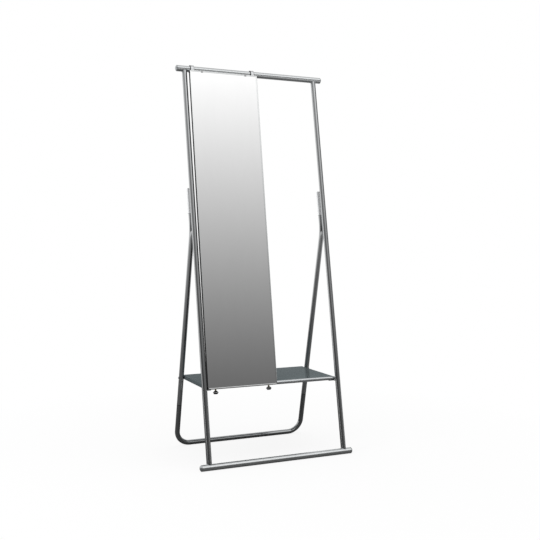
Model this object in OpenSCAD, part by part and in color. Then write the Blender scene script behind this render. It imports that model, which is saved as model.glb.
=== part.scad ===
// Free-standing floor mirror. A glass panel hangs from the top rail of a leaning tube frame and
// rolls sideways between the two uprights, in front of a shelf that ties the frame together.
// Millimetres, +Z up. The origin is on the floor, at the middle of the base.

/* [Overall] */
// Length of the top and base rails over their caps
rail_len = 795; // [640:1:1000]
// Height of the top rail's crown above the floor
frame_h = 1900; // [1500:1:2300]
// Depth of the base, from the front of the base rail to the back of the hoop
frame_d = 515; // [420:1:640]

/* [Front frame] */
// Outside diameter of the two rails
rail_d = 30; // [27:0.5:36]
// Outside diameter of the uprights
upright_d = 25; // [20:0.5:27]
// Wall of the rails and uprights
tube_wall = 1.5; // [1:0.1:2.5]
// Length of rail outside the centre line of each upright, with its cap
rail_over = 46.5; // [30:0.5:80]
// Lean of the front frame from upright, in degrees
frame_lean = 10.25; // [6:0.05:13]
// Length of a rail cap that shows
cap_len = 9; // [5:0.5:15]
// Length of a cap's plug inside its rail
cap_plug = 16; // [8:1:24]
// Size of the weld bead where an upright meets a rail
weld_leg = 3; // [1.5:0.5:5]

/* [Rear frame] */
// Outside diameter of the rear legs and the hoop
leg_d = 25; // [20:0.5:28]
// Wall of the rear legs and the hoop
leg_wall = 1.5; // [1:0.1:2.5]
// Lean of the rear legs towards the front frame, in degrees
leg_lean = 13.25; // [10:0.05:17]
// Radius of the bend near the top of a leg, at its centre line
leg_bend_r = 200; // [120:5:300]
// Radius of the hoop's two corners, at the centre line
hoop_bend_r = 70; // [50:1:100]
// Distance up the leg from the hoop's centre line to the joint
joint_up = 215; // [160:1:250]
// Thickness of the ring that shows at the joint
ring_t = 3; // [2:0.5:6]
// Length of the spigot inside each tube at the joint
spigot_half = 50; // [36:1:70]
// Outside diameter of the sleeve at the head of a leg
sleeve_d = 28; // [27:0.5:32]
// Length of the sleeve
sleeve_len = 125; // [110:1:180]
// Straight run of the leg between its bend and the sleeve
sleeve_rise = 39; // [10:1:120]
// Clear gap between an upright and the sleeve behind it
sleeve_gap = 8; // [5:0.5:16]
// Height of the lower leg bolt above the sleeve's lower end
leg_bolt_up = 59; // [20:1:70]
// Distance between the two bolts of a leg
leg_bolt_pitch = 38; // [20:1:42]
// Diameter of the spacer round a leg bolt
leg_spacer_d = 11; // [9:0.5:16]

/* [Shelf] */
// Height of the shelf's top face above the floor
shelf_top = 374; // [300:1:600]
// Thickness of the shelf
shelf_t = 18; // [15:0.5:26]
// Gap between each end of the shelf and a rear leg
shelf_end_gap = 1.5; // [1.5:0.5:10]
// Distance of the shelf's front nose behind the uprights' centre line
shelf_nose_back = 11.2; // [10:0.1:40]
// Overhang of the shelf behind the rear legs' centre line
shelf_over = 27; // [18:1:60]
// Depth of the rounded trim on the shelf's front edge
trim_depth = 5; // [3:0.5:8]
// Reach of the trim behind each upright, past its inner side
trim_tuck = 4.5; // [0:0.5:5]
// Thickness of the bracket under each front corner
bracket_t = 3; // [2:0.5:5]
// Reach of the bracket under the shelf, inwards from the upright's centre
bracket_reach = 38; // [34:1:42]
// Length of the bracket under the shelf, behind the trim
bracket_depth = 20; // [16:1:50]
// Reach of the bracket's tab in front of the board, beside the upright
bracket_tab = 9; // [7:0.5:11]

/* [Mirror panel] */
// Width of the panel
panel_w = 352; // [280:1:420]
// Thickness of the panel over its frame
panel_t = 18; // [17:0.5:26]
// Distance of the panel's top edge below the rail's centre line
panel_drop = 18; // [16:0.5:24]
// Gap between the panel's edge and an upright at each end of its travel
panel_side_gap = 2.5; // [1.5:0.5:20]
// Width of the frame's lip in front of the glass
lip_w = 6; // [4:0.5:12]
// Thickness of the frame's front lip
lip_t = 1.2; // [0.8:0.1:2]
// Wall of the frame section
section_wall = 1.5; // [1:0.1:2]
// Width of the frame's lip behind the backing board
back_lip_w = 9; // [6:0.5:12]
// Thickness of the glass
glass_t = 4; // [3:0.5:5]
// Distance of a glass clip's centre from the panel's side edge
clip_inset = 62; // [45:1:110]
// Width of a glass clip
clip_w = 10; // [6:0.5:20]
// Length of a corner key's arm inside the frame section
key_arm = 24; // [12:1:28]

/* [Hangers] */
// Width of a hanger over its glide's flanges
hanger_w = 18; // [14:0.5:30]
// Distance of the left hanger's centre from the panel's left edge
hanger_inset_left = 20; // [14:0.5:40]
// Distance of the right hanger's centre from the panel's right edge
hanger_inset_right = 15; // [14:0.5:40]
// Wall of the glide between the rail and the strap
glide_wall = 2.9; // [2:0.1:5]
// Width of each flange of the glide
glide_flange = 1.5; // [1:0.1:3]
// Thickness of the hanger strap
strap_t = 1.5; // [1:0.1:2.5]
// Length of the strap's tab down the back of the panel, below the rail's centre line
tab_len = 66; // [62:1:120]

/* [Guide rollers] */
// Distance of a guide roller's pin from the panel's side edge
guide_inset = 40.5; // [39:0.5:100]
// Diameter of a guide roller
roller_d = 15; // [13:0.5:16]
// Height of a guide roller
roller_h = 8; // [6:0.5:10]
// Distance that a roller stands out of the panel's back
roller_proud = 3.3; // [2:0.1:6]
// Diameter of the brass guide pins
pin_d = 8; // [5:0.5:9]
// Diameter of the round foot on a guide pin
foot_d = 25; // [16:0.5:26]
// Height of the round foot
foot_h = 16; // [12:0.5:22]
// Length of the pin that shows between the panel and the foot
pin_show = 8; // [5:0.5:20]

/* [Fasteners and fits] */
// Shank diameter of the leg bolts and shelf bolts
bolt_d = 6; // [5:0.5:7]
// Head diameter of the leg bolts and shelf bolts
bolt_head_d = 12; // [9:0.5:14]
// Head height of the leg bolts and shelf bolts
bolt_head_h = 4; // [3:0.5:6]
// Shank diameter of the small screws
screw_d = 4; // [3:0.1:5]
// Head diameter of the small screws
screw_head_d = 8; // [6.5:0.5:10]
// Head height of the small screws
screw_head_h = 2.4; // [2:0.1:4]
// Radial clearance of a running fit
run_fit = 0.08; // [0.04:0.01:0.1]
// Clearance between fixed pieces that slip together
slip_fit = 0.15; // [0.1:0.01:0.3]
// Gap between a guide roller and the shelf's nose
roller_gap = 0.3; // [0.2:0.05:0.5]

/* [Hidden] */
$fn = 64;
rail_r = rail_d / 2;
upright_r = upright_d / 2;
leg_r = leg_d / 2;
sleeve_r = sleeve_d / 2;
upright_x = rail_len / 2 - rail_over;
bolt_r = bolt_d / 2;
screw_r = screw_d / 2;
tube_end = rail_len / 2 - cap_len;

// the front frame leans back from the base rail's centre line
base_y = rail_r - frame_d / 2;
rear_y = frame_d / 2 - leg_r;
upright_len = (frame_h - rail_d) / cos(frame_lean);
top_y = base_y + (frame_h - rail_d) * tan(frame_lean);
top_z = frame_h - rail_r;
function upright_y(z) = base_y + (z - rail_r) * tan(frame_lean);
function leg_y(z) = rear_y - (z - leg_r) * tan(leg_lean);

// a rear leg: a lower run that leans forward, a bend, and a run parallel to the upright
leg_offset = upright_r + sleeve_gap + sleeve_r;
turn = frame_lean + leg_lean;
run_a = rear_y - base_y - leg_offset * cos(frame_lean);
run_b = leg_r - rail_r + leg_offset * sin(frame_lean);
elbow_t = (run_a * cos(frame_lean) - run_b * sin(frame_lean)) / sin(turn);
elbow_s = (run_a * cos(leg_lean) + run_b * sin(leg_lean)) / sin(turn);
bend_back = leg_bend_r * tan(turn / 2);
sleeve_lid = 3;
sleeve_stem = 8;
plug_gap = 0.3;
bend_at = round(10 * (elbow_t - bend_back)) / 10;
bend_lap = 1;
bend_swell = 0.05;
head_len = sleeve_rise + sleeve_len - sleeve_lid - sleeve_stem;
sleeve_up = elbow_s + bend_back + sleeve_rise;
leg_top = sleeve_up + sleeve_len - sleeve_lid - sleeve_stem;
leg_bolts_at = [sleeve_up + leg_bolt_up, sleeve_up + leg_bolt_up + leg_bolt_pitch];
leg_start = joint_up + ring_t;
spigot_r = leg_r - leg_wall - slip_fit;
spigot_wall = 2;
spigot_screw_up = leg_start + spigot_half / 2;
insert_r = bolt_r + 1.6;
insert_len = 12;

// the shelf between the uprights and the legs
shelf_mid = shelf_top - shelf_t / 2;
shelf_low = shelf_top - shelf_t;
shelf_end = upright_x - leg_r - shelf_end_gap;
trim_end = upright_x - upright_r + trim_tuck;
nose_y = upright_y(shelf_mid) + shelf_nose_back;
board_y = nose_y + trim_depth;
shelf_back = leg_y(shelf_mid) + shelf_over;
nose_r = (trim_depth * trim_depth + shelf_t * shelf_t / 4) / (2 * trim_depth);
shelf_spacer_r = 8;
shelf_bolt_in = 22;
shelf_screw_in = 12;
bracket_screw = [upright_x - bracket_reach + 9, board_y + bracket_depth / 2];

// the hangers round the rail
glide_bore = rail_r + run_fit;
glide_r = glide_bore + glide_wall;
flange_r = glide_r + 1.2;
strap_in = glide_r + run_fit;
strap_out = strap_in + strap_t;
strap_w = hanger_w - 2 * glide_flange - 2 * slip_fit;
tab_screws_at = [-38, -56];

// the panel hangs from the rail's centre line and leans back until its rollers meet the nose
roller_r = roller_d / 2;
pin_r = pin_d / 2;
reach_y = top_y - nose_y + roller_gap;
reach_z = top_z - shelf_mid;
touch_y = strap_out - roller_proud;
touch_z = sqrt(reach_y * reach_y + reach_z * reach_z - touch_y * touch_y);
panel_lean = atan2(reach_y, reach_z) - atan2(touch_y, touch_z);
roller_y = -touch_y - roller_r;
roller_low = -touch_z - roller_h / 2;
panel_foot = roller_low - 0.4 - section_wall;
panel_top = -panel_drop;
panel_back = -strap_out;
panel_front = panel_back - panel_t;
panel_left = -upright_x + upright_r + panel_side_gap;
panel_right = panel_left + panel_w;
glass_front = panel_front + lip_t;
glass_back = glass_front + glass_t;
board_back = panel_back - section_wall;
board_inset = 3.2;
key_t = board_inset - section_wall - slip_fit;
clip_t = 1.2;
clip_front = 7;
clip_back = 10;
hangers_at = [panel_left + hanger_inset_left, panel_right - hanger_inset_right];
guides_at = [panel_left + guide_inset, panel_right - guide_inset];
clips_at = [panel_left + clip_inset, panel_right - clip_inset];
foot_top = panel_foot - pin_show;
pin_in_foot = foot_h - 5;
pin_top = roller_low + roller_h + 0.3;
pin_head_r = pin_r + 1.6;
pin_head_t = 1.6;
guide_window = roller_r + 1.5;
mitre = 20;

// ---- helpers ----

// a bar and a tube along the local Z axis, between two heights
module bar(r, z0, z1) {
    translate([0, 0, z0]) cylinder(r = r, h = z1 - z0);
}

module tube(r, wall, z0, z1) {
    difference() {
        bar(r, z0, z1);
        bar(r - wall, z0 - 1, z1 + 1);
    }
}

// a bar along X
module bar_x(r, x0, x1) {
    translate([x0, 0, 0]) rotate([0, 90, 0]) cylinder(r = r, h = x1 - x0);
}

// a bar along Y
module bar_y(r, y0, y1) {
    translate([0, y0, 0]) rotate([-90, 0, 0]) cylinder(r = r, h = y1 - y0);
}

// a box between two corners
module box(low, high) {
    translate(low) cube([high[0] - low[0], high[1] - low[1], high[2] - low[2]]);
}

// pieces of the frame are drawn on the right and mirrored for the left
module on_side(side) {
    if (side < 0) {
        mirror([1, 0, 0]) children();
    } else {
        children();
    }
}

// local frames: up an upright, up a rear leg, up its head, across the hoop, and down the panel
module on_upright() {
    translate([upright_x, base_y, rail_r]) rotate([-frame_lean, 0, 0]) children();
}

module on_leg() {
    translate([upright_x, rear_y, leg_r]) rotate([leg_lean, 0, 0]) children();
}

module on_leg_head() {
    on_upright() translate([0, leg_offset, 0]) children();
}

module on_hoop() {
    translate([0, rear_y, leg_r]) rotate([leg_lean, 0, 0]) children();
}

module at_base() {
    translate([0, base_y, rail_r]) children();
}

module at_top() {
    translate([0, top_y, top_z]) children();
}

module on_panel() {
    at_top() rotate([-panel_lean, 0, 0]) children();
}

// a domed socket screw along +Y: its head seats at y = 0 and its shank ends at y = reach
module fastener(shank_r, head_r, head_h, reach) {
    dome = head_r * 1.25;
    difference() {
        union() {
            bar_y(shank_r, -1, reach);
            intersection() {
                bar_y(head_r, -head_h, 0);
                translate([0, dome - head_h, 0]) sphere(r = dome);
            }
        }
        translate([0, -head_h - 1, 0]) rotate([-90, 0, 0])
            cylinder(r = head_r * 0.42, h = head_h * 0.55 + 1, $fn = 6);
    }
}

// ---- front frame ----

module rail() {
    difference() {
        bar_x(rail_r, -tube_end, tube_end);
        bar_x(rail_r - tube_wall, -tube_end - 1, tube_end + 1);
    }
}

module rail_cap(side) {
    rise = cap_len - 2;
    dome = (rail_r * rail_r + rise * rise) / (2 * rise);
    plug_r = rail_r - tube_wall - slip_fit;
    on_side(side) translate([tube_end, 0, 0]) rotate([0, 90, 0]) difference() {
        union() {
            bar(plug_r, -cap_plug, 1);
            intersection() {
                bar(rail_r, 0, cap_len);
                translate([0, 0, cap_len - dome]) sphere(r = dome);
            }
        }
        bar(plug_r - 2.5, -cap_plug - 1, -2);
    }
}

module upright(side) {
    on_side(side) difference() {
        on_upright() tube(upright_r, tube_wall, 0, upright_len);
        on_upright() bar_x(rail_r + slip_fit, -upright_d, upright_d);
        on_upright() translate([0, 0, upright_len]) bar_x(rail_r + slip_fit, -upright_d, upright_d);
        for (up = leg_bolts_at) {
            on_upright() translate([0, 0, up]) bar_y(insert_r + slip_fit, 0, upright_d);
        }
    }
}

// a collar of weld round the saddle line between an upright and a rail
module weld_bead() {
    low = rail_r / 2;
    difference() {
        translate([0, 0, low]) cylinder(r1 = upright_r + weld_leg,
            r2 = upright_r + weld_leg / 3, h = rail_r + weld_leg - low);
        bar(upright_r + slip_fit, 0, rail_d);
        bar_x(rail_r + slip_fit, -rail_d, rail_d);
    }
}

module base_weld(side) {
    on_side(side) on_upright() weld_bead();
}

module top_weld(side) {
    on_side(side) on_upright() translate([0, 0, upright_len]) rotate([180, 0, 0]) weld_bead();
}

// ---- rear frame ----

// the straight runs reach a little way into the bend, which is a hair thicker than they are
module leg_path(r, more) {
    on_leg() {
        bar(r, leg_start - more, bend_at + bend_lap);
        translate([0, leg_bend_r, bend_at]) {
            rotate([90, 0, 0]) rotate([0, -90, 0]) rotate_extrude(angle = turn)
                translate([leg_bend_r, 0]) circle(r = r + bend_swell);
            rotate([-turn, 0, 0]) translate([0, -leg_bend_r, 0])
                bar(r, -bend_lap, head_len + more);
        }
    }
}

module rear_leg(side) {
    on_side(side) difference() {
        leg_path(leg_r, 0);
        leg_path(leg_r - leg_wall, 1);
        for (up = leg_bolts_at) {
            on_leg_head() translate([0, 0, up]) bar_y(bolt_r + slip_fit, -leg_d, leg_d);
        }
        translate([upright_x, leg_y(shelf_mid), shelf_mid]) bar_x(bolt_r + slip_fit, -leg_d, leg_d);
        on_leg() translate([0, 0, spigot_screw_up]) bar_y(screw_r + slip_fit, 0, leg_d);
    }
}

module leg_sleeve(side) {
    on_side(side) on_leg_head() difference() {
        bar(sleeve_r, sleeve_up, sleeve_up + sleeve_len - sleeve_lid);
        bar(leg_r + slip_fit, sleeve_up - 1, sleeve_up + sleeve_len);
        for (up = leg_bolts_at) {
            translate([0, 0, up]) bar_y(bolt_r + slip_fit, -sleeve_d, sleeve_d);
        }
    }
}

module sleeve_plug(side) {
    lid = sleeve_up + sleeve_len - sleeve_lid;
    dome = (sleeve_r * sleeve_r + 9) / 6;
    on_side(side) on_leg_head() {
        bar(leg_r, leg_top + plug_gap, lid + 0.5);
        intersection() {
            bar(sleeve_r, lid, lid + sleeve_lid);
            translate([0, 0, lid + sleeve_lid - dome - 0.6]) sphere(r = dome + 0.6);
        }
    }
}

module leg_spacers() {
    for (side = [-1, 1]) for (up = leg_bolts_at) {
        on_side(side) on_upright() difference() {
            translate([0, 0, up]) bar_y(leg_spacer_d / 2, upright_r / 2, leg_offset - sleeve_r / 2);
            translate([0, 0, up]) bar_y(bolt_r + slip_fit, 0, leg_offset);
            bar(upright_r + slip_fit, up - sleeve_d, up + sleeve_d);
            translate([0, leg_offset, 0]) bar(sleeve_r + slip_fit, up - sleeve_d, up + sleeve_d);
        }
    }
}

module leg_bolts() {
    seat = leg_offset + sleeve_r;
    for (side = [-1, 1]) for (up = leg_bolts_at) {
        on_side(side) on_upright() translate([0, seat, up]) rotate([0, 0, 180])
            fastener(bolt_r, bolt_head_d / 2, bolt_head_h, seat - upright_r + insert_len - 1);
    }
}

module upright_inserts() {
    for (side = [-1, 1]) for (up = leg_bolts_at) {
        on_side(side) on_upright() difference() {
            intersection() {
                translate([0, 0, up]) bar_y(insert_r, upright_r - insert_len, upright_d);
                bar(upright_r, up - upright_d, up + upright_d);
            }
            translate([0, 0, up]) bar_y(bolt_r + slip_fit, upright_r - insert_len - 1, upright_d);
        }
    }
}

module hoop_path(r, more) {
    on_hoop() bar_x(r, hoop_bend_r - upright_x, upright_x - hoop_bend_r);
    for (side = [-1, 1]) {
        on_side(side) on_hoop() translate([upright_x - hoop_bend_r, 0, hoop_bend_r])
            rotate([-90, 0, 0]) rotate_extrude(angle = 90) translate([hoop_bend_r, 0]) circle(r = r);
        on_side(side) on_leg() bar(r, hoop_bend_r, joint_up + more);
    }
}

module rear_hoop() {
    difference() {
        hoop_path(leg_r, 0);
        hoop_path(leg_r - leg_wall, 1);
    }
}

module joint_ring(side) {
    on_side(side) on_leg() tube(leg_r, leg_wall, joint_up, leg_start);
}

module leg_spigot(side) {
    on_side(side) on_leg() difference() {
        tube(spigot_r, spigot_wall, joint_up - spigot_half, leg_start + spigot_half);
        translate([0, 0, spigot_screw_up]) bar_y(screw_r + slip_fit, 0, leg_d);
    }
}

module spigot_screws() {
    for (side = [-1, 1]) {
        on_side(side) on_leg() translate([0, leg_r, spigot_screw_up]) rotate([0, 0, 180])
            fastener(screw_r, screw_head_d / 2, screw_head_h, leg_wall + spigot_wall + 2);
    }
}

// ---- shelf ----

module shelf_board() {
    difference() {
        box([-shelf_end, board_y, shelf_low], [shelf_end, shelf_back, shelf_top]);
        for (side = [-1, 1]) {
            on_side(side) translate([shelf_end, leg_y(shelf_mid), shelf_mid])
                bar_x(bolt_r + slip_fit, -shelf_bolt_in, 1);
            on_side(side) translate([bracket_screw[0], bracket_screw[1], shelf_low])
                bar(screw_r + slip_fit, -1, shelf_screw_in + 0.5);
        }
    }
}

module shelf_front_trim() {
    intersection() {
        translate([0, nose_y + nose_r, shelf_mid]) bar_x(nose_r, -trim_end, trim_end);
        box([-trim_end - 1, nose_y - 1, shelf_low - 5], [trim_end + 1, board_y, shelf_top + 5]);
    }
}

// a plate under the shelf's front corner, with a tab coped to the back of the upright
module shelf_bracket(side) {
    inner = upright_x - bracket_reach;
    neck = upright_x - upright_r;
    front = board_y - bracket_tab;
    back = board_y + bracket_depth;
    on_side(side) difference() {
        translate([0, 0, shelf_low - bracket_t]) linear_extrude(height = bracket_t)
            polygon([[inner, board_y], [neck, board_y], [neck, front],
                [upright_x, front], [upright_x, back], [inner, back]]);
        on_upright() bar(upright_r + slip_fit, 0, frame_h / 2);
        translate([bracket_screw[0], bracket_screw[1], shelf_low])
            bar(screw_r + slip_fit, -bracket_t - 1, 1);
    }
}

module shelf_screws() {
    for (side = [-1, 1]) {
        on_side(side) translate([bracket_screw[0], bracket_screw[1], shelf_low - bracket_t])
            rotate([90, 0, 0])
            fastener(screw_r, screw_head_d / 2, screw_head_h, bracket_t + shelf_screw_in - 1);
    }
}

module shelf_spacers() {
    for (side = [-1, 1]) {
        on_side(side) difference() {
            translate([0, leg_y(shelf_mid), shelf_mid]) bar_x(shelf_spacer_r, shelf_end, upright_x);
            translate([0, leg_y(shelf_mid), shelf_mid])
                bar_x(bolt_r + slip_fit, shelf_end - 1, upright_x + 1);
            on_leg() bar(leg_r + slip_fit, 0, elbow_t);
        }
    }
}

module shelf_bolts() {
    for (side = [-1, 1]) {
        on_side(side) translate([upright_x + leg_r, leg_y(shelf_mid), shelf_mid])
            rotate([0, 0, 90])
            fastener(bolt_r, bolt_head_d / 2, bolt_head_h,
                leg_d + shelf_end_gap + shelf_bolt_in - 1);
    }
}

// ---- mirror panel ----

module mirror_glass() {
    edge = section_wall + slip_fit;
    on_panel() box([panel_left + edge, glass_front, panel_foot + edge],
        [panel_right - edge, glass_back, panel_top - edge]);
}

// the board's edges are rebated for the frame's back lip, so that its back is flush
module mirror_backing() {
    flush = back_lip_w + slip_fit;
    on_panel() difference() {
        union() {
            box([panel_left + board_inset, glass_back, panel_foot + board_inset],
                [panel_right - board_inset, board_back, panel_top - board_inset]);
            box([panel_left + flush, board_back - 1, panel_foot + flush],
                [panel_right - flush, panel_back, panel_top - flush]);
        }
        for (x = guides_at) {
            box([x - guide_window, glass_back - 1, panel_foot],
                [x + guide_window, panel_back + 1, pin_top + pin_head_t + 2]);
        }
        for (x = hangers_at) for (z = tab_screws_at) {
            translate([x, 0, z]) bar_y(screw_r + slip_fit, panel_back - 10, panel_back + 1);
        }
    }
}

// the frame section all round: a wall, a narrow lip in front and a wider lip behind
module frame_ring() {
    difference() {
        box([panel_left, panel_front, panel_foot], [panel_right, panel_back, panel_top]);
        box([panel_left + section_wall, glass_front, panel_foot + section_wall],
            [panel_right - section_wall, board_back, panel_top - section_wall]);
        box([panel_left + lip_w, panel_front - 1, panel_foot + lip_w],
            [panel_right - lip_w, glass_front + 1, panel_top - lip_w]);
        box([panel_left + back_lip_w, board_back - 1, panel_foot + back_lip_w],
            [panel_right - back_lip_w, panel_back + 1, panel_top - back_lip_w]);
    }
}

// one side of the ring between its two mitres, given by the corners of that side
module frame_member(corners) {
    on_panel() intersection() {
        frame_ring();
        translate([0, panel_back + 1, 0]) rotate([90, 0, 0])
            linear_extrude(height = panel_t + 2) polygon(corners);
    }
}

module mirror_frame_top() {
    frame_member([[panel_left, panel_top], [panel_left + mitre, panel_top - mitre],
        [panel_right - mitre, panel_top - mitre], [panel_right, panel_top]]);
}

module mirror_frame_bottom() {
    difference() {
        frame_member([[panel_left, panel_foot], [panel_right, panel_foot],
            [panel_right - mitre, panel_foot + mitre], [panel_left + mitre, panel_foot + mitre]]);
        for (x = guides_at) {
            on_panel() translate([x, roller_y, 0]) bar(pin_r + slip_fit, foot_top, roller_low);
            on_panel() box([x - guide_window, board_back - 1, panel_foot + section_wall],
                [x + guide_window, panel_back + 1, panel_foot + back_lip_w + 1]);
        }
    }
}

module mirror_frame_left() {
    frame_member([[panel_left, panel_foot], [panel_left + mitre, panel_foot + mitre],
        [panel_left + mitre, panel_top - mitre], [panel_left, panel_top]]);
}

module mirror_frame_right() {
    frame_member([[panel_right, panel_foot], [panel_right, panel_top],
        [panel_right - mitre, panel_top - mitre], [panel_right - mitre, panel_foot + mitre]]);
}

module frame_corner_key(x, z, dx, dz) {
    y0 = glass_back + slip_fit;
    y1 = board_back - slip_fit;
    box([min(x, x + dx * key_arm), y0, min(z, z + dz * key_t)],
        [max(x, x + dx * key_arm), y1, max(z, z + dz * key_t)]);
    box([min(x, x + dx * key_t), y0, min(z, z + dz * key_arm)],
        [max(x, x + dx * key_t), y1, max(z, z + dz * key_arm)]);
}

module frame_corner_keys() {
    in = section_wall;
    on_panel() {
        frame_corner_key(panel_left + in, panel_foot + in, 1, 1);
        frame_corner_key(panel_right - in, panel_foot + in, -1, 1);
        frame_corner_key(panel_left + in, panel_top - in, 1, -1);
        frame_corner_key(panel_right - in, panel_top - in, -1, -1);
    }
}

module glass_clips() {
    for (x = clips_at) {
        on_panel() difference() {
            box([x - clip_w / 2, panel_front - clip_t, panel_top - clip_back],
                [x + clip_w / 2, panel_back + clip_t, panel_top + clip_t]);
            box([x - clip_w, panel_front, panel_top - clip_back - 1],
                [x + clip_w, panel_back, panel_top]);
            box([x - clip_w, panel_front - clip_t - 1, panel_top - clip_back - 1],
                [x + clip_w, panel_front + 1, panel_top - clip_front]);
        }
    }
}

// ---- hangers ----

// a flanged sleeve that slides along the rail
module hanger_glide(x) {
    at_top() translate([x, 0, 0]) difference() {
        union() {
            bar_x(glide_r, -hanger_w / 2, hanger_w / 2);
            bar_x(flange_r, -hanger_w / 2, glide_flange - hanger_w / 2);
            bar_x(flange_r, hanger_w / 2 - glide_flange, hanger_w / 2);
        }
        bar_x(glide_bore, -hanger_w, hanger_w);
    }
}

// a flat strap bent round the glide, with both ends doubled down the back of the panel
module hanger_strap(x) {
    half = strap_w / 2;
    on_panel() translate([x, 0, 0]) difference() {
        union() {
            bar_x(strap_out, -half, half);
            box([-half, -strap_out, -tab_len], [half, strap_t - strap_in, 0]);
        }
        bar_x(strap_in, -half - 1, half + 1);
        for (z = tab_screws_at) {
            translate([0, 0, z]) bar_y(screw_r + slip_fit, -strap_out - 1, 0);
        }
    }
}

module hanger_screws() {
    for (x = hangers_at) for (z = tab_screws_at) {
        on_panel() translate([x, strap_t - strap_in, z]) rotate([0, 0, 180])
            fastener(screw_r, screw_head_d / 2, screw_head_h, 2 * strap_t + 9);
    }
}

// ---- guide rollers ----

module on_guide(x) {
    on_panel() translate([x, roller_y, 0]) children();
}

module guide_pin(x) {
    on_guide(x) {
        bar(pin_r, foot_top - pin_in_foot, pin_top + 0.5);
        bar(pin_head_r, pin_top, pin_top + pin_head_t);
    }
}

module guide_foot(x) {
    ball = foot_d * 0.54;
    on_guide(x) difference() {
        intersection() {
            bar(foot_d / 2, foot_top - foot_h, foot_top);
            translate([0, 0, foot_top - foot_h / 2]) sphere(r = ball);
        }
        bar(pin_r + slip_fit, foot_top - pin_in_foot - 0.2, foot_top + 1);
    }
}

module guide_roller(x) {
    on_guide(x) difference() {
        bar(roller_r, roller_low, roller_low + roller_h);
        bar(pin_r + run_fit, roller_low - 1, roller_low + roller_h + 1);
    }
}

// ---- the nodes ----

silver_colour = [0.72, 0.74, 0.75];
cap_colour = [0.66, 0.68, 0.69];
weld_colour = [0.60, 0.62, 0.63];
bolt_colour = [0.50, 0.52, 0.54];
black_colour = [0.06, 0.06, 0.07];
shelf_colour = [0.18, 0.20, 0.21];
clip_colour = [0.58, 0.58, 0.58];
trim_colour = [0.75, 0.77, 0.78];
glass_colour = [0.85, 0.90, 0.92];
board_colour = [0.20, 0.20, 0.21];
frame_colour = [0.35, 0.36, 0.37];
brass_colour = [0.70, 0.60, 0.32];
roller_colour = [0.90, 0.90, 0.88];

color(silver_colour) at_base() rail();  // base_rail
color(silver_colour) at_top() rail();  // top_rail
color(cap_colour) at_base() rail_cap(-1);  // base_rail_left_cap
color(cap_colour) at_base() rail_cap(1);  // base_rail_right_cap
color(cap_colour) at_top() rail_cap(-1);  // top_rail_left_cap
color(cap_colour) at_top() rail_cap(1);  // top_rail_right_cap
color(silver_colour) upright(-1);  // left_upright
color(silver_colour) upright(1);  // right_upright
color(weld_colour) base_weld(-1);  // left_base_weld
color(weld_colour) base_weld(1);  // right_base_weld
color(weld_colour) top_weld(-1);  // left_top_weld
color(weld_colour) top_weld(1);  // right_top_weld
color(silver_colour) rear_leg(-1);  // left_rear_leg
color(silver_colour) rear_leg(1);  // right_rear_leg
color(silver_colour) leg_sleeve(-1);  // left_leg_sleeve
color(silver_colour) leg_sleeve(1);  // right_leg_sleeve
color(cap_colour) sleeve_plug(-1);  // left_sleeve_plug
color(cap_colour) sleeve_plug(1);  // right_sleeve_plug
color(cap_colour) leg_spacers();
color(bolt_colour) leg_bolts();
color(bolt_colour) upright_inserts();
color(silver_colour) rear_hoop();
color(black_colour) joint_ring(-1);  // left_joint_ring
color(black_colour) joint_ring(1);  // right_joint_ring
color(bolt_colour) leg_spigot(-1);  // left_leg_spigot
color(bolt_colour) leg_spigot(1);  // right_leg_spigot
color(bolt_colour) spigot_screws();
color(shelf_colour) shelf_board();
color(trim_colour) shelf_front_trim();
color(silver_colour) shelf_bracket(-1);  // left_shelf_bracket
color(silver_colour) shelf_bracket(1);  // right_shelf_bracket
color(bolt_colour) shelf_screws();
color(black_colour) shelf_spacers();
color(bolt_colour) shelf_bolts();
color(glass_colour) mirror_glass();
color(board_colour) mirror_backing();
color(frame_colour) mirror_frame_top();
color(frame_colour) mirror_frame_bottom();
color(frame_colour) mirror_frame_left();
color(frame_colour) mirror_frame_right();
color(bolt_colour) frame_corner_keys();
color(clip_colour) glass_clips();
color(silver_colour) hanger_strap(hangers_at[0]);  // left_hanger_strap
color(silver_colour) hanger_strap(hangers_at[1]);  // right_hanger_strap
color(bolt_colour) hanger_screws();
color(brass_colour) guide_pin(guides_at[0]);  // left_guide_pin
color(brass_colour) guide_pin(guides_at[1]);  // right_guide_pin
color(black_colour) guide_foot(guides_at[0]);  // left_guide_foot
color(black_colour) guide_foot(guides_at[1]);  // right_guide_foot
color(black_colour) hanger_glide(hangers_at[0]);  // left_hanger_glide
color(black_colour) hanger_glide(hangers_at[1]);  // right_hanger_glide
color(roller_colour) guide_roller(guides_at[0]);  // left_guide_roller
color(roller_colour) guide_roller(guides_at[1]);  // right_guide_roller
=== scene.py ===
# Looks of the rolling floor mirror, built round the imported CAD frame. Metres, +Z up.
import math

import bmesh
import bpy
from mathutils import Matrix, Vector


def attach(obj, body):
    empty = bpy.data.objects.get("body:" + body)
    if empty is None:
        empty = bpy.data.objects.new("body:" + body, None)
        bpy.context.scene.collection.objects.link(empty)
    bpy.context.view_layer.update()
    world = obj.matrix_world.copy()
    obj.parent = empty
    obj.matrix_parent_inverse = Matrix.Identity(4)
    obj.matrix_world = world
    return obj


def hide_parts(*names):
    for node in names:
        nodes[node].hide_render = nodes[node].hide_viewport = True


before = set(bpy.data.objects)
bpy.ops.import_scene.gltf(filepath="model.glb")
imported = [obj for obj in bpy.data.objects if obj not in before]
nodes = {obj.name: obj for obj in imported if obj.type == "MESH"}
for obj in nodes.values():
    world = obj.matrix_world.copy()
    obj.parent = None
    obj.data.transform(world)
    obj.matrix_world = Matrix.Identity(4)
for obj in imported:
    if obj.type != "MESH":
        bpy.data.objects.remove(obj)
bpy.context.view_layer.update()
scene = bpy.context.scene

# ---------------------------------------------------------------- shader nodes

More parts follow.
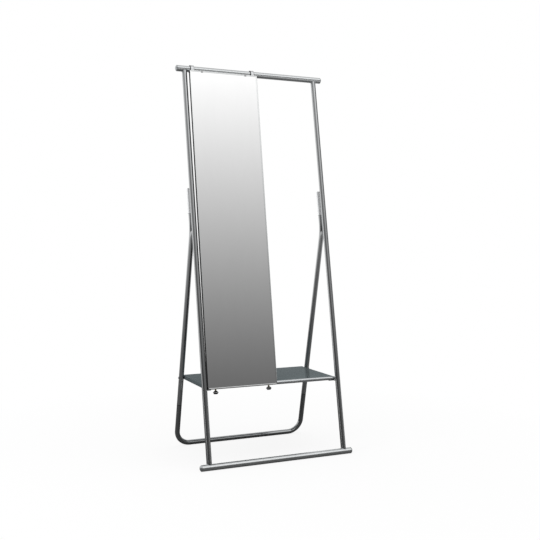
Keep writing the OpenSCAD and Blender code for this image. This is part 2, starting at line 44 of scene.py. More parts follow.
EVEN = (1, 1, 1)                    # texture space that isn't stretched
ALONG = (1, 0.02, 1)                # texture space of a grain that runs along the piece
NOISE_LOW, NOISE_HIGH = 0.3, 0.7    # most of a noise lies between these
SPREAD = 0.05                       # how far roughness varies either way
MIX_SOCKETS = {"FLOAT": (2, 3, 0), "RGBA": (6, 7, 2)}    # a Mix node's two inputs and its result


def add(tree, kind):
    return tree.nodes.new("ShaderNode" + kind)


def put(tree, value, socket):
    """Links a socket to another, or writes a value on it."""
    if isinstance(value, bpy.types.NodeSocket):
        tree.links.new(value, socket)
    else:
        socket.default_value = value


def new_material(name):
    mat = bpy.data.materials.new(name)
    mat.use_nodes = True
    mat.node_tree.nodes.clear()
    return mat, mat.node_tree


def coords(tree, stretch=EVEN, offset=(0, 0, 0), source="Object"):
    tex = add(tree, "TexCoord")
    mapping = add(tree, "Mapping")
    put(tree, stretch, mapping.inputs["Scale"])
    put(tree, offset, mapping.inputs["Location"])
    put(tree, tex.outputs[source], mapping.inputs["Vector"])
    return mapping.outputs["Vector"]


def noise(tree, vector, scale, detail, rough, distortion=0.0):
    node = add(tree, "TexNoise")
    put(tree, vector, node.inputs["Vector"])
    put(tree, scale, node.inputs["Scale"])
    put(tree, detail, node.inputs["Detail"])
    put(tree, rough, node.inputs["Roughness"])
    put(tree, distortion, node.inputs["Distortion"])
    return node.outputs["Fac"]


def remap(tree, value, at_low, at_high, low=NOISE_LOW, high=NOISE_HIGH):
    """What lies between low and high is spread between at_low and at_high."""
    node = add(tree, "MapRange")
    put(tree, value, node.inputs["Value"])
    put(tree, low, node.inputs["From Min"])
    put(tree, high, node.inputs["From Max"])
    put(tree, at_low, node.inputs["To Min"])
    put(tree, at_high, node.inputs["To Max"])
    return node.outputs["Result"]


def maths(tree, operation, a, b):
    node = add(tree, "Math")
    node.operation = operation
    put(tree, a, node.inputs[0])
    put(tree, b, node.inputs[1])
    return node.outputs[0]


def add_up(tree, a, b, share):
    """Adds two noises, of which the first has that share."""
    return maths(tree, "ADD", maths(tree, "MULTIPLY", a, share), maths(tree, "MULTIPLY", b, 1 - share))


def mix(tree, fac, a, b, kind="RGBA"):
    node = add(tree, "Mix")
    node.data_type = kind
    first, second, result = MIX_SOCKETS[kind]
    put(tree, fac, node.inputs[0])
    put(tree, a, node.inputs[first])
    put(tree, b, node.inputs[second])
    return node.outputs[result]


def mix_colour(tree, fac, a, b):
    return mix(tree, fac, (*a, 1), (*b, 1))


def mix_shader(tree, fac, a, b):
    node = add(tree, "MixShader")
    put(tree, fac, node.inputs["Fac"])
    put(tree, a.outputs[0], node.inputs[1])
    put(tree, b.outputs[0], node.inputs[2])
    return node


def bump(tree, height, strength, distance):
    node = add(tree, "Bump")
    put(tree, strength, node.inputs["Strength"])
    put(tree, distance, node.inputs["Distance"])
    put(tree, height, node.inputs["Height"])
    return node.outputs["Normal"]


def finish_material(tree, colour, roughness, normal, fixed):
    """A principled surface. fixed holds what doesn't vary, which goes on the shader's own sockets."""
    shader = add(tree, "BsdfPrincipled")
    out = add(tree, "OutputMaterial")
    for key, value in fixed.items():
        put(tree, value, shader.inputs[key])
    put(tree, colour, shader.inputs["Base Color"])
    put(tree, roughness, shader.inputs["Roughness"])
    put(tree, normal, shader.inputs["Normal"])
    put(tree, shader.outputs["BSDF"], out.inputs["Surface"])


# ---------------------------------------------------------------- materials


def metal(name, light, dark, rough, grain=1.0, spread=SPREAD, height=0.000004, along=False):
    """Drawn or turned metal: fine grain, soft patches and handling marks. along: the grain runs
    down the length of a piece that has a UV map in metres."""
    mat, tree = new_material(name)
    space = coords(tree, ALONG, source="UV") if along else coords(tree)
    fine = noise(tree, space, scale=700.0 * grain, detail=2.0, rough=0.55)
    patch = noise(tree, coords(tree, offset=(3.1, 1.7, 0.4)), scale=9.0, detail=4.0, rough=0.6)
    smudge = noise(tree, coords(tree, offset=(0.3, 5.7, 2.4)), scale=38.0, detail=3.0, rough=0.6,
                   distortion=0.6)
    tone = remap(tree, add_up(tree, fine, patch, share=0.3), 0.0, 1.0, low=0.35, high=0.65)
    wear = add_up(tree, fine, smudge, share=0.3)
    finish_material(tree, mix_colour(tree, tone, dark, light),
                    remap(tree, wear, rough - spread, rough + spread),
                    bump(tree, fine, 0.2, height), {"Metallic": 1.0})
    return mat


def drawn(name, light, dark, rough, spread, height=0.0000004):
    """Tube and profile, polished along their length."""
    return metal(name, light, dark, rough, grain=0.5, spread=spread, height=height, along=True)


def plastic(name, light, dark, rough, scale=260.0, height=0.00004, gloss=0.5):
    """Moulded plastic: a fine spark texture, with handling marks in the gloss."""
    mat, tree = new_material(name)
    fine = noise(tree, coords(tree), scale, detail=4.0, rough=0.6)
    marks = noise(tree, coords(tree, offset=(2.2, 0.9, 4.4)), scale * 0.12, detail=3.0, rough=0.6,
                  distortion=0.5)
    both = add_up(tree, fine, marks, share=0.5)
    finish_material(tree, mix_colour(tree, remap(tree, marks, 0.0, 1.0), dark, light),
                    remap(tree, both, rough - SPREAD, rough + SPREAD),
                    bump(tree, fine, 0.4, height), {"Specular IOR Level": gloss})
    return mat


def shelf_material():
    """Satin dark grey laminate with dust, faint smears and a very slight orange peel."""
    mat, tree = new_material("shelf_gloss")
    peel = noise(tree, coords(tree), scale=120.0, detail=2.0, rough=0.5)
    smear = noise(tree, coords(tree, (0.6, 1.6, 1)), scale=9.0, detail=5.0, rough=0.62, distortion=0.8)
    dust = noise(tree, coords(tree, offset=(7.0, 3.0, 1.0)), scale=700.0, detail=2.0, rough=0.5)
    speck = remap(tree, dust, 0.0, 1.0, low=0.5, high=0.8)
    colour = mix_colour(tree, speck, (0.120, 0.140, 0.146), (0.150, 0.170, 0.176))
    finish_material(tree, colour, remap(tree, smear, 0.06, 0.14), bump(tree, peel, 0.1, 0.00001),
                    {"Metallic": 0.40, "Specular Tint": (0.35, 0.38, 0.39, 1),
                     "Specular IOR Level": 0.0})
    return mat


def mirror_material():
    """Silvered glass: an almost clean reflector with the faintest wiping marks."""
    mat, tree = new_material("mirror_silver")
    wipe = noise(tree, coords(tree, (2.2, 1.0, 0.5), (1.0, 0.0, 2.0)), scale=5.0, detail=6.0,
                 rough=0.65, distortion=1.4)
    wave = noise(tree, coords(tree, offset=(4.0, 0.0, 1.0)), scale=2.5, detail=1.0, rough=0.4)
    colour = mix_colour(tree, remap(tree, wipe, 0.0, 1.0), (0.90, 0.90, 0.90), (0.916, 0.916, 0.916))
    finish_material(tree, colour, remap(tree, wipe, 0.010, 0.022), bump(tree, wave, 0.05, 0.0002),
                    {"Metallic": 1.0})
    return mat


def board_material():
    """Painted fibre board: fine speckle and soft unevenness."""
    mat, tree = new_material("backing_board")
    fibre = noise(tree, coords(tree, (1, 1, 0.4)), scale=520.0, detail=4.0, rough=0.65)
    cloud = noise(tree, coords(tree, offset=(0.7, 4.1, 1.3)), scale=12.0, detail=4.0, rough=0.6)
    colour = mix_colour(tree, remap(tree, cloud, 0.0, 1.0), (0.030, 0.030, 0.031), (0.052, 0.052, 0.053))
    finish_material(tree, colour, remap(tree, fibre, 0.52, 0.70), bump(tree, fibre, 0.5, 0.0001), {})
    return mat


# name, light and dark tone, roughness and its spread
tube = drawn("frame_tube", (0.505, 0.515, 0.520), (0.465, 0.475, 0.480), 0.10, 0.02)
# a darker copy of the frame tube's metal: painted shade on the hoop, which lies low behind the panel
shaded_hoop_metal = drawn("hoop_tube_painted_shade", (0.36, 0.37, 0.375), (0.33, 0.34, 0.345), 0.10, 0.02)
sleeve_metal = drawn("sleeve_metal", (0.94, 0.95, 0.96), (0.90, 0.91, 0.92), 0.36, 0.03)
rail_metal = drawn("rail_tube", (0.62, 0.635, 0.64), (0.58, 0.595, 0.60), 0.24, 0.025)
trim_metal = drawn("trim_metal", (0.60, 0.62, 0.63), (0.56, 0.58, 0.59), 0.28, 0.025)
lip_metal = drawn("panel_lip", (0.89, 0.90, 0.90), (0.86, 0.87, 0.87), 0.10, 0.015, height=0.0000005)
cap_metal = metal("cap_metal", (0.55, 0.57, 0.58), (0.46, 0.48, 0.49), 0.24, grain=0.6)
weld_metal = metal("weld_metal", (0.50, 0.52, 0.53), (0.40, 0.42, 0.43), 0.30, grain=0.3,
                   spread=0.07, height=0.00003)
fastener_metal = metal("fastener_metal", (0.50, 0.51, 0.53), (0.40, 0.41, 0.43), 0.28, grain=0.8)
bracket_metal = metal("bracket_metal", (0.20, 0.21, 0.21), (0.15, 0.16, 0.16), 0.32)
strap_metal = metal("strap_metal", (0.66, 0.67, 0.68), (0.58, 0.59, 0.60), 0.26)
brass = metal("pin_brass", (0.34, 0.31, 0.17), (0.26, 0.23, 0.12), 0.26, grain=0.7)
black_ring = plastic("black_ring", (0.012, 0.012, 0.013), (0.006, 0.006, 0.006), 0.45)
nylon_black = plastic("glide_nylon", (0.022, 0.022, 0.023), (0.012, 0.012, 0.012), 0.42)
nylon_white = plastic("roller_nylon", (0.72, 0.72, 0.69), (0.62, 0.62, 0.58), 0.42)
foot_black = plastic("foot_black", (0.016, 0.016, 0.017), (0.009, 0.009, 0.009), 0.20, scale=180.0)
# a lighter grey for the feet's middle band: a painted highlight
foot_painted_highlight = plastic("foot_painted_highlight", (0.34, 0.34, 0.33), (0.28, 0.28, 0.27), 0.34, scale=180.0)
clip_grey = plastic("clip_grey", (0.36, 0.36, 0.36), (0.32, 0.32, 0.32), 0.40)
panel_side = plastic("panel_side", (0.009, 0.010, 0.010), (0.006, 0.006, 0.006), 0.34, scale=420.0,
                     height=0.00001, gloss=0.2)
shelf_gloss = shelf_material()

# the CAD nodes that are shown as they are
node_material = {
    cap_metal: ["left_sleeve_plug", "right_sleeve_plug", "leg_spacers"],
    bracket_metal: ["left_shelf_bracket", "right_shelf_bracket"],
    fastener_metal: ["leg_bolts", "upright_inserts", "left_leg_spigot", "right_leg_spigot",
                     "spigot_screws", "shelf_screws", "shelf_bolts", "frame_corner_keys",
                     "hanger_screws"],
    black_ring: ["left_joint_ring", "right_joint_ring", "shelf_spacers"],
    mirror_material(): ["mirror_glass"],
    board_material(): ["mirror_backing"],
    clip_grey: ["glass_clips"],
    strap_metal: ["left_hanger_strap", "right_hanger_strap"],
    brass: ["left_guide_pin", "right_guide_pin"],
    nylon_black: ["left_hanger_glide", "right_hanger_glide"],
    nylon_white: ["left_guide_roller", "right_guide_roller"],
}
NODE_EDGE = math.radians(28)    # edges sharper than this stay sharp
for finish, names in node_material.items():
    for name in names:
        mesh = nodes[name].data
        mesh.materials.clear()
        mesh.materials.append(finish)
        for poly in mesh.polygons:
            poly.use_smooth = True
        nodes[name].modifiers.new("edges", "EDGE_SPLIT").split_angle = NODE_EDGE

# ---------------------------------------------------------------- the sizes of the frame, in metres

SIDES = ((-1, "left"), (1, "right"))
LEAN, LEG_LEAN, PANEL_LEAN = math.radians(10.25), math.radians(13.25), math.radians(9.2478)
RAIL_R, TUBE_R, SLEEVE_R = 0.015, 0.0125, 0.014
UPRIGHT_X, RAIL_END = 0.351, 0.3885
BASE_Y, REAR_Y, TOP_Y, TOP_Z = -0.2425, 0.245, 0.095651, 1.885
UPRIGHT_LEN = (TOP_Z - RAIL_R) / math.cos(LEAN)
UPRIGHT_INSET = 0.006               # how far in the tube's ends lie, inside the weld
SEAM, SEAM_DEPTH = 0.0005, 0.0004   # the eased end of a rail, where its cap begins
DOME_R, DOME_RISE, DOME_STEPS = 0.01957, 0.009, 15
LEG_OFFSET, LEG_HEAD, SLEEVE_UP, SLEEVE_LEN = 0.0345, 0.153, 1.18985, 0.122
BEND_AT, BEND_R, HOOP_R, BEND_STEPS = 1.0761, 0.200, 0.070, 24
JOINT_UP, RING_T = 0.215, 0.003
SHELF_LOW, SHELF_HIGH = (-0.337, -0.16301, 0.356), (0.337, 0.18900, 0.374)
SHELF_EASE = 0.0008
NOSE_Y, NOSE_END, NOSE_EASE, NOSE_STEPS = -0.16801, 0.343, 0.0003, 24
PANEL_LEFT, PANEL_RIGHT, PANEL_FRONT = -0.336, 0.016, -0.03756
PANEL_TOP, PANEL_BOTTOM = -0.018, -0.018 - 1.53056
LIP_IN, LIP_EDGE, LIP_FALL = 0.0060, 0.0014, 0.0004    # the lip: its width, the width of its eased outer edge, and its slope
WALL_DEEP = 0.0155                  # behind this the panel's frame has the finish of its wall
BOTTOM_PAINTED_SHADE, BOTTOM_FALL = 0.0017, 0.0007    # the lip along the panel's bottom, whose wider outer edge is painted dark as painted shade under the panel
FOOT_X = (("left", -0.2955), ("right", -0.0245))
# the foot's drop below the panel, its place, and the heights of its grey band, a painted highlight
FOOT_DROP, FOOT_Y, FOOT_PAINTED_HIGHLIGHT = 0.008, -0.02376, (-0.0083, -0.0061)
NOSE_GIRTH, RIM_GIRTH = 0.045, 0.08    # what the UV map gives the way round a piece
TOUCH = 0.0001                      # what counts as the same place
ROUND, FOOT_ROUND = 96, 64          # points round a tube and round a foot

on_panel = Matrix.Translation((0, TOP_Y, TOP_Z)) @ Matrix.Rotation(-PANEL_LEAN, 4, "X")
off_panel = on_panel.inverted()


def on_upright(side):
    return Matrix.Translation((side * UPRIGHT_X, BASE_Y, RAIL_R)) @ Matrix.Rotation(-LEAN, 4, "X")


def on_leg(side):
    return Matrix.Translation((side * UPRIGHT_X, REAR_Y, TUBE_R)) @ Matrix.Rotation(LEG_LEAN, 4, "X")


# ---------------------------------------------------------------- pieces


def piece(name, bm, mats, body, node, sharp=32):
    """Turns a bmesh into a shown piece that rides on a body in place of its CAD node."""
    bmesh.ops.recalc_face_normals(bm, faces=bm.faces)
    mesh = bpy.data.meshes.new(name)
    bm.to_mesh(mesh)
    bm.free()
    for mat in mats:
        mesh.materials.append(mat)
    for poly in mesh.polygons:
        poly.use_smooth = True
    mesh.set_sharp_from_angle(angle=math.radians(sharp))
    obj = bpy.data.objects.new(name, mesh)
    scene.collection.objects.link(obj)
    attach(obj, body)
    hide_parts(node)


def rings(loops, widths, lengths, ends=True):
    """Joins closed rings of points. The UV map holds metres: round the ring, then along the piece."""
    bm = bmesh.new()
    uv = bm.loops.layers.uv.verify()
    verts = [[bm.verts.new(p) for p in ring] for ring in loops]
    count = len(loops[0])
    for i in range(len(loops) - 1):
        for j in range(count):
            k = (j + 1) % count
            face = bm.faces.new((verts[i][j], verts[i][k], verts[i + 1][k], verts[i + 1][j]))
            spots = ((i, j), (i, j + 1), (i + 1, j + 1), (i + 1, j))
            for corner, (a, b) in zip(face.loops, spots):
                corner[uv].uv = (widths[a] * b / count, lengths[a])
    if ends:
        for a, ring in ((0, verts[0]), (-1, verts[-1])):
            face = bm.faces.new(ring)
            for corner, vert in zip(face.loops, ring):
                corner[uv].uv = (vert.co.x, lengths[a] + vert.co.y)
    return bm


def angles(count):
    return [2 * math.pi * j / count for j in range(count)]


def sweep(path, radii, across):
    """A round bar along a flat path, with a radius for each point of it or one for all. across is
    the direction square to the path's plane."""
    path = [Vector(p) for p in path]
    across = Vector(across).normalized()
    if not isinstance(radii, list):
        radii = [radii] * len(path)
    loops, lengths, run = [], [], 0.0
    for i, p in enumerate(path):
        a, b = path[max(i - 1, 0)], path[min(i + 1, len(path) - 1)]
        out = (b - a).normalized().cross(across).normalized()
        run += (p - path[i - 1]).length if i else 0.0
        lengths.append(run)
        loops.append([p + radii[i] * (math.cos(t) * across + math.sin(t) * out) for t in angles(ROUND)])
    return rings(loops, [2 * math.pi * r for r in radii], lengths)


def lathe(profile, place, count=ROUND):
    """Turns (radius, height) points round the local Z axis of place."""
    loops, lengths, run = [], [], 0.0
    for i, (r, z) in enumerate(profile):
        if i:
            run += math.hypot(r - profile[i - 1][0], z - profile[i - 1][1])
        lengths.append(run)
        loops.append([place @ Vector((r * math.cos(t), r * math.sin(t), z)) for t in angles(count)])
    return rings(loops, [2 * math.pi * r for r, _ in profile], lengths)


# the two rails, with a fine seam where each domed cap begins
for level, y, z in (("base", BASE_Y, RAIL_R), ("top", TOP_Y, TOP_Z)):
    path = [(x, y, z) for x in (-RAIL_END, SEAM - RAIL_END, RAIL_END - SEAM, RAIL_END)]
    radii = [RAIL_R - SEAM_DEPTH, RAIL_R, RAIL_R, RAIL_R - SEAM_DEPTH]
    piece(level + "_rail_tube", sweep(path, radii, (0, 0, 1)), [rail_metal], "frame",
          level + "_rail")
    for side, word in SIDES:
        start = math.asin(RAIL_R / DOME_R)
        profile = [(RAIL_R - 0.0009, 0.0), (RAIL_R - 0.0003, 0.0002), (RAIL_R, 0.0006), (RAIL_R, 0.0016)]
        for i in range(1, DOME_STEPS):
            t = start * (1 - i / DOME_STEPS)
            profile.append((DOME_R * math.sin(t), DOME_RISE - DOME_R + DOME_R * math.cos(t)))
        profile.append((0.0003, DOME_RISE))
        place = Matrix.Translation((side * RAIL_END, y, z)) @ Matrix.Rotation(side * math.pi / 2, 4, "Y")
        node = "%s_rail_%s_cap" % (level, word)
        piece(node + "_dome", lathe(profile, place), [cap_metal], "frame", node)


def weld(place):
    """A fillet of weld round the saddle line of an upright on a rail, with the ripple of its runs."""
    count, steps, leg, tuck, hollow, widest = 144, 8, 0.0022, 0.0002, 1.6, RAIL_R * 0.93
    ripple, ripples = 0.00012, 34
    face, girth = 0.003, 0.08       # the UV map's reach over the fillet and round it
    loops = []
    for i in range(steps + 1):
        t = i / steps
        ring = []
        for a in angles(count):
            wave = ripple * math.sin(ripples * a) * math.sin(math.pi * t)
            r = TUBE_R - tuck + leg * (1 - t) ** hollow + wave
            across = min(abs(r * math.sin(a)), widest)
            saddle = math.sqrt(RAIL_R ** 2 - across ** 2)
            rise = saddle - tuck + leg * t ** hollow
            ring.append(place @ Vector((r * math.cos(a), r * math.sin(a), rise)))
        loops.append(ring)
    lengths = [face * i / steps for i in range(steps + 1)]
    return rings(loops, [girth] * (steps + 1), lengths, ends=False)


for side, word in SIDES:
    low = on_upright(side)
    high = low @ Matrix.Translation((0, 0, UPRIGHT_LEN)) @ Matrix.Rotation(math.pi, 4, "X")
    path = [low @ Vector((0, 0, z)) for z in (UPRIGHT_INSET, UPRIGHT_LEN - UPRIGHT_INSET)]
    piece(word + "_upright_tube", sweep(path, TUBE_R, (1, 0, 0)), [tube], "frame",
          word + "_upright")
    piece(word + "_base_fillet", weld(low), [weld_metal], "frame", word + "_base_weld")
    piece(word + "_top_fillet", weld(high), [weld_metal], "frame", word + "_top_weld")

    # the rear leg: a straight run, a bend, and its head parallel to the upright
    turn = LEAN + LEG_LEAN
    path = [(0, 0, JOINT_UP + RING_T), (0, 0, BEND_AT)]
    for i in range(1, BEND_STEPS + 1):
        t = turn * i / BEND_STEPS
        path.append((0, BEND_R * (1 - math.cos(t)), BEND_AT + BEND_R * math.sin(t)))
    path.append(Vector(path[-1]) + LEG_HEAD * Vector((0, math.sin(turn), math.cos(turn))))
    path = [on_leg(side) @ Vector(p) for p in path]
    piece(word + "_rear_leg_tube", sweep(path, TUBE_R, (1, 0, 0)), [tube], "frame",
          word + "_rear_leg")

    # the sleeve at its head, with a turned-in lower edge
    top = SLEEVE_UP + SLEEVE_LEN
    profile = [(TUBE_R + 0.0001, SLEEVE_UP), (SLEEVE_R - 0.0005, SLEEVE_UP),
               (SLEEVE_R, SLEEVE_UP + 0.0007), (SLEEVE_R, top - 0.0004), (SLEEVE_R - 0.0004, top)]
    place = on_upright(side) @ Matrix.Translation((0, LEG_OFFSET, 0))
    piece(word + "_sleeve_tube", lathe(profile, place), [sleeve_metal], "frame",
          word + "_leg_sleeve")

# the hoop on the floor: half of it is drawn, and mirrored
corner = UPRIGHT_X - HOOP_R
path = [(UPRIGHT_X, 0, JOINT_UP), (UPRIGHT_X, 0, HOOP_R)]
for i in range(1, BEND_STEPS + 1):
    t = math.pi / 2 * i / BEND_STEPS
    path.append((corner + HOOP_R * math.cos(t), 0, HOOP_R * (1 - math.sin(t))))
path += [(-x, y, z) for x, y, z in reversed(path)]
place = on_leg(0)
hoop = sweep([place @ Vector(p) for p in path], TUBE_R, place.to_3x3() @ Vector((0, 1, 0)))
# the hoop takes the darker copy of the tube metal, as painted shade
piece("rear_hoop_tube", hoop, [shaded_hoop_metal], "frame", "rear_hoop")

# the shelf: a board with eased edges
board = bmesh.new()
for v in bmesh.ops.create_cube(board, size=1.0)["verts"]:
    v.co = Vector([a + (c + 0.5) * (b - a) for a, b, c in zip(SHELF_LOW, SHELF_HIGH, v.co)])
bmesh.ops.bevel(board, geom=board.edges[:], offset=SHELF_EASE, segments=3, profile=0.5, affect="EDGES")
piece("shelf_panel", board, [shelf_gloss], "frame", "shelf_board", sharp=12)

# its rounded metal nose
nose_back, low, high = SHELF_LOW[1], SHELF_LOW[2], SHELF_HIGH[2]
depth, half, middle = nose_back - NOSE_Y, (high - low) / 2, (high + low) / 2
nose_r = (depth ** 2 + half ** 2) / (2 * depth)
profile = [(nose_back, low)]
for i in range(NOSE_STEPS + 1):
    t = math.asin(half / nose_r) * (2 * i / NOSE_STEPS - 1)
    profile.append((NOSE_Y + nose_r - nose_r * math.cos(t), middle + nose_r * math.sin(t)))
profile.append((nose_back, high))
stations = ((-NOSE_END, NOSE_EASE), (NOSE_EASE - NOSE_END, 0), (NOSE_END - NOSE_EASE, 0),
            (NOSE_END, NOSE_EASE))
loops = [[Vector((x, min(y + ease, nose_back), z)) for y, z in profile] for x, ease in stations]
nose = rings(loops, [NOSE_GIRTH] * len(loops), [x + NOSE_END for x, _ in stations])
piece("shelf_nose", nose, [trim_metal], "frame", "shelf_front_trim")


def frame_member(name, ends, out, along, node, painted_shade_edge=LIP_EDGE, wall=panel_side, fall=LIP_FALL):
    """One mitred length of the panel's frame, with an eased outer edge and a lip that falls slightly
    towards the glass. ends are the outer corners in the panel's plane, and out points away from its
    middle. The wall has its own finish. Where the outer edge given is wider than LIP_EDGE, it takes
    the wall's dark finish too: painted shade along the panel's underside."""
    section = [(0.0, 0.0012), (0.0002, 0.0006), (0.0007, 0.0002), (0.0013, 0.0), (painted_shade_edge, 0.0),
               (LIP_IN, fall), (LIP_IN, 0.0012), (0.0015, 0.0012), (0.0015, 0.0165),
               (0.0090, 0.0165), (0.0090, 0.0180), (0.0006, 0.0180), (0.0, 0.0174)]
    loops = []
    for corner, way in zip(ends, (1, -1)):
        ring = []
        for u, v in section:
            x = corner[0] - out[0] * u + along[0] * way * u
            z = corner[1] - out[1] * u + along[1] * way * u
            ring.append(on_panel @ Vector((x, PANEL_FRONT + v, z)))
        loops.append(ring)
    length = (Vector(ends[1]) - Vector(ends[0])).length
    bm = rings(loops, [RIM_GIRTH] * 2, [0.0, length])
    out = Vector(out)
    rim = Vector(ends[0]).dot(out)
    for face in bm.faces:
        spots = [off_panel @ v.co for v in face.verts]
        deep = max(p.y for p in spots) - PANEL_FRONT > WALL_DEEP
        # a wider outer edge takes the dark wall finish: painted shade under the panel
        edge = painted_shade_edge > LIP_EDGE and rim - min(p.xz.dot(out) for p in spots) < painted_shade_edge + TOUCH
        if len(face.verts) == 4 and (deep or edge):
            face.material_index = 1
    piece(name, bm, [lip_metal, wall], "mirror", node, sharp=20)


left_low, left_high = (PANEL_LEFT, PANEL_BOTTOM), (PANEL_LEFT, PANEL_TOP)
right_low, right_high = (PANEL_RIGHT, PANEL_BOTTOM), (PANEL_RIGHT, PANEL_TOP)
frame_member("panel_left_rim", (left_low, left_high), (-1, 0), (0, 1), "mirror_frame_left")
frame_member("panel_right_rim", (right_low, right_high), (1, 0), (0, 1), "mirror_frame_right")
frame_member("panel_top_rim", (left_high, right_high), (0, 1), (1, 0), "mirror_frame_top",
             wall=strap_metal)
# the bottom rim: its wider outer edge is painted dark, as painted shade
frame_member("panel_bottom_rim", (left_low, right_low), (0, -1), (1, 0), "mirror_frame_bottom",
             painted_shade_edge=BOTTOM_PAINTED_SHADE, fall=BOTTOM_FALL)

# the turned feet under the panel, with a grey band round their middle as a painted highlight
FOOT_PROFILE = [(0.0045, 0.0), (0.0064, -0.0002), (0.0072, -0.0010), (0.0079, -0.0026),
                (0.0104, -0.0038), (0.0119, -0.0050), (0.0124, -0.0064), (0.0125, -0.0080),
                (0.0124, -0.0096), (0.0119, -0.0110), (0.0106, -0.0122), (0.0092, -0.0132),
                (0.0088, -0.0146), (0.0080, -0.0157), (0.0064, -0.0160), (0.0003, -0.0160)]
for word, x in FOOT_X:
    place = on_panel @ Matrix.Translation((x, FOOT_Y, PANEL_BOTTOM - FOOT_DROP))
    foot = lathe(FOOT_PROFILE, place, FOOT_ROUND)
    for face in foot.faces:
        heights = [(place.inverted() @ v.co).z for v in face.verts]
        # faces within the band take the grey, as a painted highlight
        if FOOT_PAINTED_HIGHLIGHT[0] < min(heights) and max(heights) < FOOT_PAINTED_HIGHLIGHT[1]:
            face.material_index = 1
    piece(word + "_foot_turned", foot, [foot_black, foot_painted_highlight], "mirror",
          word + "_guide_foot")

# ---------------------------------------------------------------- floor, light and camera

WHITE = (1, 1, 1, 1)
FLOOR, FLOOR_IN_METAL, FLOOR_HALF = (0.80, 0.80, 0.80), (0.14, 0.14, 0.14), 14.0
# each of these rows is given to remap: the two results, and the two places that they belong to
GLOW_SHARE = (0.86, 1.0, 0.5, 1.9)              # by distance, how much of the floor glows white
GLOW_SHARE_IN_METAL = (0.0, 1.0, 1.2, 3.0)      # the same as metal sees it
GLOW_IN_METAL = (0.38, 1.0, 4.0, 7.5)           # by distance, how bright that glow is
# the room that metal mirrors, by direction: x to the right, y to the back and z up
LEVEL_TONES = (-0.012, 0.012, 0.26, 0.46)       # by x, which makes the tones in the glass level
CEILING = (1.6, 0.93, 0.71, 0.82)               # by z, the most that the room in front has
SCREEN_LEFT, SCREEN_RIGHT = (1.0, 0.0, -0.98, -0.88), (0.0, 1.0, -0.36, -0.12)    # its edges, by x
SCREEN = (0.55, 1.0, 0.0, 1.0)                  # how dark it is
RIGHT_WALL, RIGHT_WALL_TONE = (0.0, 1.0, 0.52, 0.70), 0.21                        # by x
BACKDROP, BACKDROP_CORNER = (0.0, 1.0, -0.10, 0.30), 0.40    # by y, and how far back its corner is
BACKDROP_TONE = (1.0, 0.6, 0.45, 0.80)          # by z
ROOM_LOW, ROOM_GAIN, ROOM_POWER = 0.092, 4.61, 2.0    # its tone from the floor up
STUDIO_LEVEL = 0.75                             # the world's light on the object
AIM = (0, 0, 0.9)                               # where the lamps point
LENS, SENSOR, SHIFT_Y, YAW, PITCH = 54.22, 36.0, -0.00085, 0.4263, 0.0384
EYE = (-1.62035, -3.70688, 1.06179)


def make_floor():
    """Near the object the floor takes its shadow, and further out it runs into the white backdrop.
    Metal sees the same, as a darker studio floor that is lit and shaded near the object."""
    mesh = bpy.data.meshes.new("floor")
    bm = bmesh.new()
    bmesh.ops.create_grid(bm, x_segments=24, y_segments=24, size=FLOOR_HALF)
    bm.to_mesh(mesh)
    bm.free()
    floor = bpy.data.objects.new("floor", mesh)
    scene.collection.objects.link(floor)
    mat, tree = new_material("floor")
    rays = add(tree, "LightPath")
    seen, in_metal = rays.outputs["Is Camera Ray"], rays.outputs["Is Glossy Ray"]
    length = add(tree, "VectorMath")
    length.operation = "LENGTH"
    put(tree, add(tree, "TexCoord").outputs["Object"], length.inputs[0])
    away = length.outputs["Value"]
    diffuse = add(tree, "BsdfDiffuse")
    put(tree, mix_colour(tree, in_metal, FLOOR, FLOOR_IN_METAL), diffuse.inputs["Color"])
    glow = add(tree, "Emission")
    put(tree, WHITE, glow.inputs["Color"])
    put(tree, maths(tree, "MAXIMUM", remap(tree, away, *GLOW_IN_METAL), seen), glow.inputs["Strength"])
    share = maths(tree, "ADD", maths(tree, "MULTIPLY", seen, remap(tree, away, *GLOW_SHARE)),
                  maths(tree, "MULTIPLY", in_metal, remap(tree, away, *GLOW_SHARE_IN_METAL)))
    out = add(tree, "OutputMaterial")
    put(tree, mix_shader(tree, share, diffuse, glow).outputs[0], out.inputs["Surface"])
    mesh.materials.append(mat)


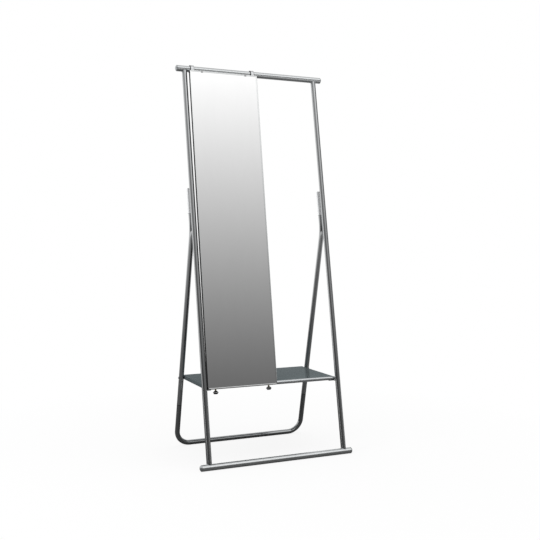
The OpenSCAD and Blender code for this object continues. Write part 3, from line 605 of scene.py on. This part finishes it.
def make_world():
    """White where the camera looks, plain light on the object, and for reflections a room that
    brightens with height up to a softer ceiling, with a dark screen at the left of the lens, a grey
    wall at the right, and behind the object the white backdrop."""
    world = bpy.data.worlds.new("studio")
    scene.world = world
    world.use_nodes = True
    tree = world.node_tree
    tree.nodes.clear()
    split = add(tree, "SeparateXYZ")
    put(tree, add(tree, "TexCoord").outputs["Generated"], split.inputs[0])
    x, y, z = split.outputs["X"], split.outputs["Y"], split.outputs["Z"]

    height = maths(tree, "MAXIMUM", maths(tree, "ADD", z, remap(tree, x, *LEVEL_TONES)), 0.0)
    tone = maths(tree, "MULTIPLY", maths(tree, "POWER", height, ROOM_POWER), ROOM_GAIN)
    tone = maths(tree, "MINIMUM", maths(tree, "ADD", tone, ROOM_LOW), remap(tree, z, *CEILING))
    beside = maths(tree, "MAXIMUM", remap(tree, x, *SCREEN_LEFT), remap(tree, x, *SCREEN_RIGHT))
    tone = maths(tree, "MULTIPLY", tone, remap(tree, beside, *SCREEN))
    at_right = remap(tree, x, *RIGHT_WALL)
    front = mix(tree, at_right, tone, RIGHT_WALL_TONE, "FLOAT")
    back = maths(tree, "SUBTRACT", y, maths(tree, "MULTIPLY", at_right, BACKDROP_CORNER))
    mirrored = mix(tree, remap(tree, back, *BACKDROP), front, remap(tree, z, *BACKDROP_TONE))

    white, studio, room = (add(tree, "Background") for _ in range(3))
    put(tree, WHITE, white.inputs["Color"])
    put(tree, 1.0, white.inputs["Strength"])
    put(tree, WHITE, studio.inputs["Color"])
    put(tree, STUDIO_LEVEL, studio.inputs["Strength"])
    put(tree, mirrored, room.inputs["Color"])
    rays = add(tree, "LightPath").outputs
    direct = maths(tree, "MAXIMUM", rays["Is Camera Ray"], rays["Is Transmission Ray"])
    lit = mix_shader(tree, rays["Is Glossy Ray"], studio, room)
    out = add(tree, "OutputWorld")
    put(tree, mix_shader(tree, direct, lit, white).outputs[0], out.inputs["Surface"])


def area_light(name, where, size, power):
    light = bpy.data.lights.new(name, "AREA")
    light.shape = "RECTANGLE"
    light.size, light.size_y = size
    light.energy = power
    obj = bpy.data.objects.new(name, light)
    scene.collection.objects.link(obj)
    obj.location = where
    obj.rotation_euler = (Vector(AIM) - Vector(where)).to_track_quat("-Z", "Y").to_euler()
    obj.visible_glossy = False


def make_camera():
    """The camera at the photograph's angle, from its heading and its slope."""
    camera = bpy.data.cameras.new("camera")
    camera.sensor_width = SENSOR
    camera.lens = LENS
    camera.shift_y = SHIFT_Y
    camera.clip_end = 100.0
    eye = bpy.data.objects.new("camera", camera)
    scene.collection.objects.link(eye)
    level = math.cos(PITCH)
    forward = Vector((math.sin(YAW) * level, math.cos(YAW) * level, -math.sin(PITCH)))
    right = Vector((math.cos(YAW), -math.sin(YAW), 0.0))
    axes = Matrix((right, right.cross(forward), -forward)).transposed()
    eye.matrix_world = Matrix.Translation(EYE) @ axes.to_4x4()
    scene.camera = eye


make_floor()
make_world()
area_light("top_box", (0.2, -0.6, 4.2), (3.2, 2.4), 60)
area_light("left_box", (-3.0, -1.2, 2.2), (1.4, 2.4), 35)
make_camera()
scene.view_settings.view_transform = "Standard"
